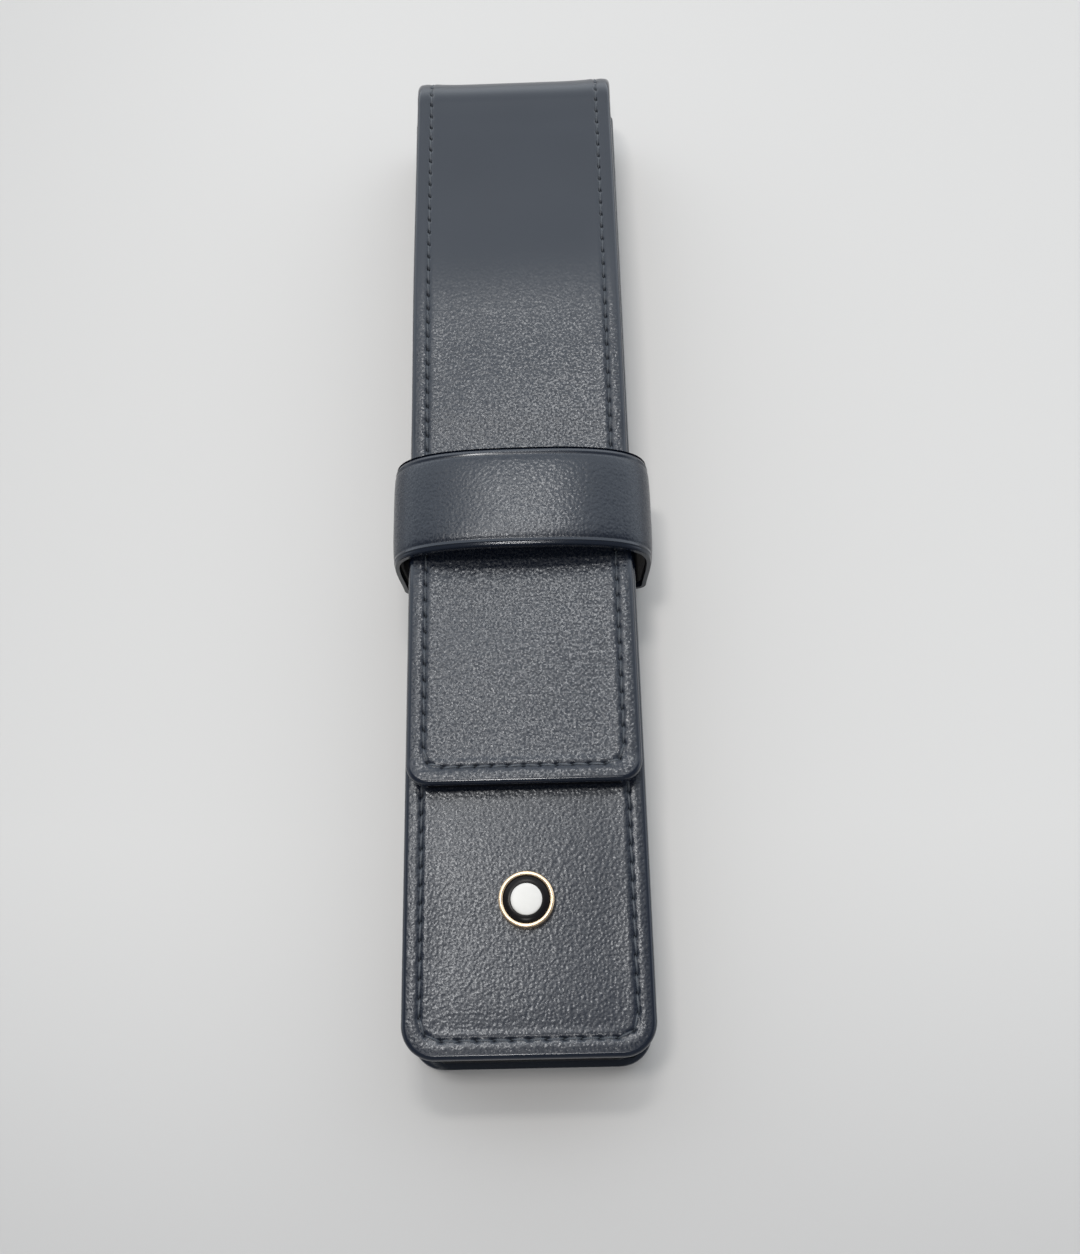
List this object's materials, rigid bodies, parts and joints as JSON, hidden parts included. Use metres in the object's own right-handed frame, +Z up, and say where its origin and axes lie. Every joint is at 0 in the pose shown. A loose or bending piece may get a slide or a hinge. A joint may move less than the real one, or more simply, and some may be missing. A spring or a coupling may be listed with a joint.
{
  "type": "leather pen case",
  "caption": "Slim black leather case for a single pen: gusseted pocket, flap folding over the mouth and tucked under a fixed loop, small round gilt emblem.",
  "frame": {"origin": "under the middle of the case, on the surface that its back lies on", "axes": "+X across the case, +Y along it from the closed end to the fold over the mouth, +Z up out of the front"},
  "size_m": [0.038, 0.161, 0.0218],
  "materials": {
    "calf_leather": "smooth black calf, fine grain, soft sheen",
    "lining_leather": "matt black lining",
    "thread": "black waxed sewing thread",
    "board": "grey fibre board, hidden inside the panels",
    "gilt_metal": "polished gilt",
    "black_enamel": "gloss black",
    "white_resin": "polished white"
  },
  "bodies": {
    "case": {"back_leather": "calf_leather", "back_board": "board", "back_lining": "lining_leather", "front_leather": "calf_leather", "front_board": "board", "front_lining": "lining_leather", "gusset_leather": "calf_leather", "gusset_lining": "lining_leather", "loop_leather": "calf_leather", "loop_lining": "lining_leather", "emblem_ring": "gilt_metal", "emblem_disc": "black_enamel", "emblem_inlay": "white_resin", "emblem_shank": "gilt_metal", "emblem_washer": "gilt_metal"},
    "fold": {"fold_leather": "calf_leather", "fold_lining": "lining_leather"},
    "flap_root": {"flap_root_leather": "calf_leather", "flap_root_lining": "lining_leather"},
    "flap_upper": {"flap_upper_leather": "calf_leather", "flap_upper_lining": "lining_leather"},
    "flap_middle": {"flap_middle_leather": "calf_leather", "flap_middle_lining": "lining_leather"},
    "flap_tongue": {"flap_tongue_leather": "calf_leather", "flap_tongue_board": "board", "flap_tongue_lining": "lining_leather"}
  },
  "joints": [
    {"name": "flap_swing", "type": "hinge", "parent": "case", "child": "fold", "pos_m": [0, 0.07792, 0.00258], "axis": [-1, 0, 0], "range_deg": [0, 90]},
    {"name": "flap_swing_front", "type": "hinge", "parent": "fold", "child": "flap_root", "pos_m": [0, 0.07792, 0.01502], "axis": [-1, 0, 0], "range_deg": [0, 90]},
    {"name": "flap_bow", "type": "hinge", "parent": "flap_root", "child": "flap_upper", "pos_m": [0, 0.0681, 0.0176], "axis": [-1, 0, 0], "range_deg": [0, 85]},
    {"name": "flap_crest", "type": "hinge", "parent": "flap_upper", "child": "flap_middle", "pos_m": [0, 0.0371, 0.0147], "axis": [-1, 0, 0], "range_deg": [-170, 0]},
    {"name": "flap_foot", "type": "hinge", "parent": "flap_middle", "child": "flap_tongue", "pos_m": [0, 0.0061, 0.0176], "axis": [-1, 0, 0], "range_deg": [0, 85]}
  ],
  "couplings": [
    {"joint": "flap_swing_front", "follows": "flap_swing", "ratio": 1},
    {"joint": "flap_crest", "follows": "flap_bow", "ratio": -2},
    {"joint": "flap_foot", "follows": "flap_bow", "ratio": 1}
  ]
}
